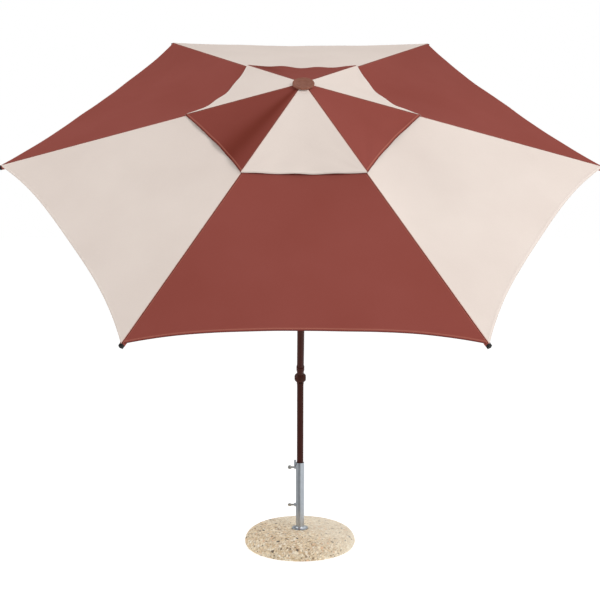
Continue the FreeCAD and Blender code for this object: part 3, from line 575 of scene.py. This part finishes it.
def gore_half(family, k, side):
    """Half of gore k. Its height over the plane is the droop, folds, and relief of seam and hem.

    Folds and waves grow towards the hem and fade to nothing at the seam.
    """
    plane = GorePlane(family, k)
    from_seam, across, y, hem = half_grid(family, side, plane)
    half_width = y * plane.spread
    x = across * half_width
    to_seam = half_width * from_seam * math.cos(plane.half_angle)
    to_hem = hem - y
    share = np.clip((y - plane.y_in) / (hem - plane.y_in), 0, 1)
    middle = 1 - across ** 2
    turn = 1.7 * k + (0.9 if family == "vent" else 0.0)
    corner = plane.y_out * plane.spread
    loose = middle * (0.4 + 0.6 * share) * LOOSENESS[family]
    folds = slow_waves(x, y, turn) + corner_folds(x, y, corner, plane.y_out, turn)
    folds = folds + corner_folds(x, y, -corner, plane.y_out, turn + 2)
    wave = FLUTTER[family] * np.sin(3 * math.pi * across + turn) * share ** 5
    height = droop(family, k, share, middle) + loose * (folds + wave) + edge_relief(to_seam, to_hem)
    rib = "rib_%d" % (k if side < 0 else k % RIBS + 1)
    name = "%s_canopy_%d_%s" % (family, k, "near" if side < 0 else "far")
    piece = cloth_shell(name, plane.place(x, y, height), MAST, FINISHES[gore_slot(family, k)])
    # the vent gores get their painted shade here
    paint_cloth(piece, x, y, to_seam, to_hem, painted_shade_tone(family, k, across, share))
    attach(piece, rib)
    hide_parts("%s_gore_%d" % (family, k))
    anchor = plane.place(np.array(side * corner), np.array(plane.y_out), np.array(0.0))
    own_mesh(piece)


def gore_slot(family, k):
    """Red and ecru take turns, and the vent has them the other way round."""
    red = (k % 2 == 1) == (family == "main")
    return "terracotta_fabric" if red else "ecru_fabric"


def make_canopy():
    for family, k, side in product(("main", "vent"), range(1, RIBS + 1), (-1, 1)):
        gore_half(family, k, side)


# ------------------------------------------------------------------ rib ends

def rib_place(k, slope):
    """Rib k's own coordinates, from its crown hinge: x along the rib, y across it, z up.

    Returns the function that takes them to the object's frame, the rib's direction and its hinge.
    """
    turn = azimuth(k)
    outward = np.array([math.cos(turn), math.sin(turn), 0.0])
    along = outward * math.cos(slope) - np.array([0, 0, math.sin(slope)])
    across = np.array([-math.sin(turn), math.cos(turn), 0.0])
    axes = np.array([along, across, np.cross(along, across)])
    hinge = in_canopy(HINGES[k - 1])
    return lambda points: in_frame(hinge + points @ axes), along, hinge


def make_corner_pockets():
    """Sewn sleeve round each rib end and half its cap: a rippled rounded rectangle, as a closed wall."""
    slope = math.atan(math.tan(GorePlane("main", 1).fall) * math.cos(SECTOR / 2))
    above_cap, over_cap = 0.042, 0.021      # reach of the sleeve up the rib and over the cap
    half_width, half_height, inside = 0.0100, 0.0110, 0.94
    turn = np.linspace(0, 2 * math.pi, 48, endpoint=False)
    squareness = (np.abs(np.cos(turn)) ** 5 + np.abs(np.sin(turn)) ** 5) ** (-1 / 5)
    for k in range(1, RIBS + 1):
        place, along, hinge = rib_place(k, slope)
        cap_start = ((in_canopy(node_points("rib_cap_%d" % k)) - hinge) @ along).min()
        station = np.linspace(cap_start - above_cap, cap_start + over_cap, 28)
        ripple = 0.0003 * np.sin(station[:, None] * 420 + 2 * turn + k)
        outer = np.stack([station[:, None] + 0 * turn,
                          (half_width + ripple) * squareness * np.cos(turn),
                          (half_height + ripple) * squareness * np.sin(turn)], axis=-1)
        inner = outer * np.array([1.0, inside, inside])
        quads = grid_quads(2 * len(station), len(turn), close_rows=True, close_columns=True)
        wall = np.concatenate([outer, inner[::-1]]).reshape(-1, 3)
        pocket = make_piece("corner_pocket_%d" % k, place(wall), quads[:, ::-1],
                            FINISHES["terracotta_fabric"])
        paint_uv(pocket, "cloth", wall[:, :2])
        paint_uv(pocket, "edges", np.full((len(wall), 2), 0.05))    # far from any seam or hem
        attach(pocket, "rib_%d" % k)


# ------------------------------------------------------------------ finial

def make_finial():
    """Dished round cap: flat pan, low ridge, rolled rim, flat underside, boss down to the crown."""
    points = in_canopy(node_points("finial"))
    low, high = points[:, 2].min(), points[:, 2].max()
    reach = np.hypot(points[:, 0], points[:, 1]).max()
    rim_t = 0.012
    under = high - rim_t
    rim = np.linspace(-0.5 * math.pi, 0.62 * math.pi, 22)
    half = rim_t / 2
    rim_r = reach - half + half * np.cos(rim)
    rim_z = under + half + half * np.sin(rim)
    pan = np.linspace(0, 1, 26)
    pan_r = rim_r[-1] * (1 - pan) + 0.0008 * pan
    pan_z = rim_z[-1] - 0.0028 * np.sin(pan * math.pi / 2) ** 0.7 + 0.0010 * bump_curve(pan_r, 0.030, 0.0022)
    boss_r = np.array([0.0110, 0.0120, 0.0120, 0.0135])
    boss_z = np.array([low, low + 0.0008, under - 0.0012, under])
    radius = np.concatenate([boss_r, rim_r, pan_r[1:]])
    height = np.concatenate([boss_z, rim_z, pan_z[1:]])
    finial = turned_shape("finial_cap", radius, height, FINISHES["finial_brown"], 96, in_frame)
    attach(finial, "upper_mast")
    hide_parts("finial")


# ------------------------------------------------------------------ concrete base

def cell_number(cell, channel):
    """Repeatable number from 0 to 1 for each whole-number cell, by mixing its three indices."""
    mixed = cell[..., 0] * 73856093 ^ cell[..., 1] * 19349663 ^ cell[..., 2] * 83492791 ^ channel * 2654435
    mixed = (mixed ^ (mixed >> 13)) * 1274126177 & 0xFFFFFFFF
    mixed = (mixed ^ (mixed >> 15)) * 2246822519 & 0xFFFFFFFF
    return ((mixed ^ (mixed >> 16)) & 0xFFFF) / 65535


def pebble_cells(points, size):
    """Nearest and second nearest of one scattered centre per cube of that size, and the nearest's number."""
    home = np.floor(points / size).astype(np.int64)
    nearest = np.full(len(points), np.inf)
    second = np.full(len(points), np.inf)
    tone = np.zeros(len(points))
    for offset in product((-1, 0, 1), repeat=3):
        cell = home + np.array(offset)
        jitter = np.stack([cell_number(cell, channel) for channel in (1, 2, 3)], axis=-1)
        distance = np.linalg.norm(points - (cell + jitter) * size, axis=1)
        closer = distance < nearest
        second = np.where(closer, nearest, np.minimum(second, distance))
        tone = np.where(closer, cell_number(cell, 7), tone)
        nearest = np.where(closer, distance, nearest)
    return nearest, second, tone


def pebble_paint(points, tone, groove):
    """Colour of each vertex: its pebble's, darkened towards the cement between pebbles.

    The front and left get painted shade: more dark stones and darker cement, as the number is raised
    to a power that grows from 1 there to 2.6 at the back right, where painted light pales stones and cement.
    """
    # painted shade and light: 1 at the front and left, falling to 0 at the back right
    washed = 0.5 - 0.5 * np.tanh((points[:, 0] + 0.9 * points[:, 1] - 0.02) / 0.14)
    limits = np.array([limit for limit, _ in PEBBLES])
    colours = np.array([linear(*colour) for _, colour in PEBBLES])
    chosen = colours[np.searchsorted(limits, tone ** (1 + 1.6 * (1 - washed)))]
    # painted light: a pale overlay on the stones, strongest at the back right
    film = (0.45 * (1 - washed))[:, None]
    chosen = chosen * (1 - film) + np.array(linear(238, 230, 214)) * film
    # painted shade and light on the cement: darker at the front and left, paler at the back right
    shaded_cement, lit_cement = np.array(linear(158, 132, 98)), np.array(linear(208, 196, 172))
    cement = shaded_cement * washed[:, None] + lit_cement * (1 - washed[:, None])
    return chosen * (1 - groove[:, None]) + cement * groove[:, None]


def base_profile():
    """Outline from the axis under the foot round to the axis in the socket: undercut, shoulder arc, dome."""
    low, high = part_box("concrete_base")
    tube_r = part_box("base_tube")[1].x
    floor_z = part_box("base_tube")[0].z
    foot_r, widest_z, shoulder_r = high.x - 0.008, low.z + 0.016, 0.061
    dome_turn = math.radians(6.5)
    turn = np.linspace(0, math.pi / 2 - dome_turn, 46)
    shoulder = np.stack([high.x - shoulder_r + shoulder_r * np.cos(turn),
                         widest_z + shoulder_r * np.sin(turn)], axis=1)
    dome_r = shoulder[-1, 0] / math.sin(dome_turn)
    centre_z = shoulder[-1, 1] - dome_r * math.cos(dome_turn)
    radius = np.linspace(shoulder[-1, 0], tube_r, 92)[1:]
    dome = np.stack([radius, np.minimum(centre_z + np.sqrt(dome_r ** 2 - radius ** 2), high.z)], axis=1)
    foot = np.array([[0.1, low.z], [foot_r - 0.02, low.z], [foot_r - 0.002, low.z]])
    undercut = np.linspace([foot_r, low.z + 0.001], [high.x, widest_z], 6)[:-1]
    socket = np.array([[tube_r, high.z - 0.004], [tube_r, floor_z]])
    return np.concatenate([foot, undercut, shoulder, dome, socket])


def make_concrete_base():
    """Turned outline with washed pebbles.

    The surface is sunk by CEMENT_DEPTH times a falling exponential of the gap, which is the second
    distance less the first, and by PEBBLE_DOME times the distance to the pebble's centre over its
    size. Nothing is sunk at the foot's edge and round the tube.
    """
    outline = base_profile()
    base = turned_shape("washed_concrete_base", outline[:, 0], outline[:, 1], FINISHES["washed_concrete"],
                        BASE_SEGMENTS, sharp=60.0)
    mesh = base.data
    points = vertex_values(mesh, "co")
    normal = vertex_values(mesh, "normal")
    near, second, tone = pebble_cells(points, LARGE_PEBBLE)
    gap = second - near
    near_fine, second_fine, tone_fine = pebble_cells(points + 0.5, SMALL_PEBBLE)
    large = tone < LARGE_SHARE
    tone = np.where(large, tone / LARGE_SHARE, tone_fine)
    gap = np.where(large, gap, np.minimum(second_fine - near_fine, gap))
    groove = np.exp(-gap / 0.0009)
    radius = np.hypot(points[:, 0], points[:, 1])
    open_face = np.clip((points[:, 2] - 0.003) / 0.006, 0, 1) * np.clip((radius - 0.030) / 0.006, 0, 1)
    domed = PEBBLE_DOME * np.where(large, near / LARGE_PEBBLE, near_fine / SMALL_PEBBLE)
    sunk = (CEMENT_DEPTH * groove + domed) * open_face
    moved = points - normal * sunk[:, None]
    mesh.vertices.foreach_set("co", moved.astype(np.float32).ravel())
    paint = mesh.color_attributes.new("pebble_colour", "FLOAT_COLOR", "POINT")
    paint.data.foreach_set("color", pebble_paint(points, tone, 0.7 * groove).astype(np.float32).ravel())
    mesh.update()
    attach(base, "base")
    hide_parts("concrete_base")


# ------------------------------------------------------------------ clamping screws

def make_screw_threads():
    """Rolled thread between nut and head: radius is core + depth * triangle wave of (x/pitch - turn)."""
    pitch, core, depth = 0.0015, 0.0047, 0.0008
    into_head = 0.0225      # from the head's outer end to the thread's start, hidden in the head
    into_nut = 0.002
    segments = 32
    nut_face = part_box("screw_nuts")[0].x
    for place_name in ("upper", "lower"):
        node = "screw_" + place_name
        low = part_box(node)[0]
        centre_z = JOINTS[node + "_turn"]["pos_m"][2]
        start, end = low.x + into_head, nut_face + into_nut
        x = np.linspace(start, end, int((end - start) / pitch * 8))
        turn = np.linspace(0, 2 * math.pi, segments, endpoint=False)
        phase = (x[:, None] / pitch - turn / (2 * math.pi)) % 1
        radius = core + depth * np.abs(2 * phase - 1)
        points = np.stack([x[:, None] + 0 * turn, radius * np.cos(turn), centre_z + radius * np.sin(turn)],
                          axis=-1).reshape(-1, 3)
        points = np.concatenate([points, [[start, 0, centre_z], [end, 0, centre_z]]])
        ring = np.arange(segments)
        count = len(x) * segments
        fans = [(count, ring), (count + 1, count - segments + ring[::-1])]
        quads = grid_quads(len(x), segments, close_columns=True)
        thread = make_piece(node + "_thread", points, quads, FINISHES["zinc_plated_steel"], fans)
        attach(thread, node)


def make_weld_beads():
    """Weld round each nut, on the tube's wall: a ring of small ripples that follows the cylinder."""
    tube_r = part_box("base_tube")[1].x
    around, across = 120, 12
    run = np.linspace(0, 2 * math.pi, around, endpoint=False)[:, None]
    turn = np.linspace(0, 2 * math.pi, across, endpoint=False)[None, :]
    for place_name in ("upper", "lower"):
        centre_z = JOINTS["screw_%s_turn" % place_name]["pos_m"][2]
        bead = 0.0017 + 0.0003 * np.sin(26 * run)
        ring_r = 0.0102 + bead * np.cos(turn)
        y = ring_r * np.cos(run)
        points = np.stack([-np.sqrt(tube_r ** 2 - y ** 2) - bead * np.sin(turn), y,
                           centre_z + ring_r * np.sin(run)], axis=-1)
        quads = grid_quads(around, across, close_rows=True, close_columns=True)
        weld = make_piece("nut_weld_" + place_name, points.reshape(-1, 3), quads,
                          FINISHES["galvanised_steel"], sharp=60.0)
        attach(weld, "base")


# ------------------------------------------------------------------ studio

def card_glow(tree, vector):
    """What metal mirrors: the brightness that CARDS gives for x of the horizontal direction."""
    flat = tree.nodes.new("ShaderNodeVectorMath")
    flat.operation = "MULTIPLY"
    flat.inputs[1].default_value = (1, 1, 0)
    unit = tree.nodes.new("ShaderNodeVectorMath")
    unit.operation = "NORMALIZE"
    split = tree.nodes.new("ShaderNodeSeparateXYZ")
    share = tree.nodes.new("ShaderNodeMapRange")
    share.inputs["From Min"].default_value = -1.0
    ramp = tree.nodes.new("ShaderNodeValToRGB")
    for spot, _ in CARDS[1:-1]:
        ramp.color_ramp.elements.new(spot)
    for element, (spot, level) in zip(ramp.color_ramp.elements, CARDS):
        element.position = spot
        element.color = (level * 0.97, level * 0.99, level, 1)
    tree.links.new(vector, flat.inputs[0])
    tree.links.new(flat.outputs["Vector"], unit.inputs[0])
    tree.links.new(unit.outputs["Vector"], split.inputs["Vector"])
    tree.links.new(split.outputs["X"], share.inputs["Value"])
    tree.links.new(share.outputs["Result"], ramp.inputs["Fac"])
    return ramp.outputs["Color"]


def make_floor():
    """Wide pale floor that glows a little, so that only close shadows show on it."""
    points = np.array([[-30, -30, 0], [30, -30, 0], [30, 30, 0], [-30, 30, 0]], float)
    f = Finish("studio_floor", rough=0.9, gloss=0.0)
    f.shader.inputs["Base Color"].default_value = (0.5, 0.5, 0.5, 1)
    f.shader.inputs["Emission Color"].default_value = (1, 1, 1, 1)
    f.shader.inputs["Emission Strength"].default_value = 0.70
    cards = f.node("ShaderNodeEmission")
    f.link(card_glow(f.tree, f.place()), cards.inputs["Color"])
    seen = f.node("ShaderNodeMixShader")
    f.link(f.node("ShaderNodeLightPath").outputs["Is Glossy Ray"], seen.inputs["Fac"])
    f.link(f.shader.outputs["BSDF"], seen.inputs[1])
    f.link(cards.outputs["Emission"], seen.inputs[2])
    f.link(seen.outputs["Shader"], f.tree.nodes["Material Output"].inputs["Surface"])
    floor = make_piece("studio_floor", points, np.array([[0, 1, 2, 3]]), f.material)


def make_sky():
    """White studio: even sky, darker from the front, white behind the object, cards for the metal."""
    world = bpy.data.worlds.new("studio")
    bpy.context.scene.world = world
    world.use_nodes = True
    tree = world.node_tree
    path = tree.nodes.new("ShaderNodeLightPath")
    direction = tree.nodes.new("ShaderNodeTexCoord")
    split = tree.nodes.new("ShaderNodeSeparateXYZ")
    level = tree.nodes.new("ShaderNodeMapRange")
    for key, number in (("From Min", -1.0), ("From Max", 0.2), ("To Min", 0.10), ("To Max", 0.85)):
        level.inputs[key].default_value = number
    sky = tree.nodes["Background"]
    sky.inputs["Color"].default_value = (1, 1, 1, 1)
    cards = tree.nodes.new("ShaderNodeBackground")
    seen = tree.nodes.new("ShaderNodeBackground")
    seen.inputs["Color"].default_value = (1, 1, 1, 1)
    mirrored = tree.nodes.new("ShaderNodeMixShader")
    blend = tree.nodes.new("ShaderNodeMixShader")
    tree.links.new(direction.outputs["Generated"], split.inputs["Vector"])
    tree.links.new(split.outputs["Y"], level.inputs["Value"])
    tree.links.new(level.outputs["Result"], sky.inputs["Strength"])
    tree.links.new(card_glow(tree, direction.outputs["Generated"]), cards.inputs["Color"])
    tree.links.new(path.outputs["Is Glossy Ray"], mirrored.inputs["Fac"])
    tree.links.new(sky.outputs["Background"], mirrored.inputs[1])
    tree.links.new(cards.outputs["Background"], mirrored.inputs[2])
    tree.links.new(path.outputs["Is Camera Ray"], blend.inputs["Fac"])
    tree.links.new(mirrored.outputs["Shader"], blend.inputs[1])
    tree.links.new(seen.outputs["Background"], blend.inputs[2])
    tree.links.new(blend.outputs["Shader"], tree.nodes["World Output"].inputs["Surface"])


def make_lamps():
    """A large soft key from the right and a weaker one from the left, both aimed at the canopy's middle."""
    for name, place, size, power in (("key_light", (4.5, -5.5, 6.0), 3.0, 265.0),
                                     ("side_light", (-6.0, -1.0, 4.0), 3.0, 108.0)):
        lamp = bpy.data.lights.new(name, "AREA")
        lamp.size = size
        lamp.energy = power
        holder = bpy.data.objects.new(name, lamp)
        bpy.context.scene.collection.objects.link(holder)
        aim = np.array([0.0, -0.4, 1.8]) - np.array(place)
        holder.matrix_world = looking(place, aim / np.linalg.norm(aim), 0.0)


def looking(place, forward, roll):
    """Matrix of a camera or lamp at place that looks along forward: its own -Z, with +Y up."""
    right = np.cross(forward, [0, 0, 1.0])
    right = right / np.linalg.norm(right)
    up = np.cross(right, forward)
    turned_right = right * math.cos(roll) + up * math.sin(roll)
    turned_up = -right * math.sin(roll) + up * math.cos(roll)
    matrix = np.eye(4)
    matrix[:3, 0], matrix[:3, 1], matrix[:3, 2], matrix[:3, 3] = turned_right, turned_up, -forward, place
    return Matrix(matrix.tolist())


def make_camera():
    """Long lens a little above the knuckle, looking slightly down."""
    place = (-0.0688, -6.2496, 2.1833)
    down, aside, roll = 0.11555, 0.01058, 0.00201
    forward = np.array([math.sin(aside) * math.cos(down), math.cos(aside) * math.cos(down), -math.sin(down)])
    lens = bpy.data.cameras.new("camera")
    lens.sensor_width = 36.0
    lens.lens = 64.93
    camera = bpy.data.objects.new("camera", lens)
    bpy.context.scene.collection.objects.link(camera)
    camera.matrix_world = looking(place, forward, roll)
    bpy.context.scene.camera = camera


finish_nodes()
make_canopy()
make_corner_pockets()
make_finial()
make_concrete_base()
make_screw_threads()
make_weld_beads()
make_floor()
make_sky()
make_lamps()
make_camera()
bpy.context.scene.view_settings.view_transform = "Standard"
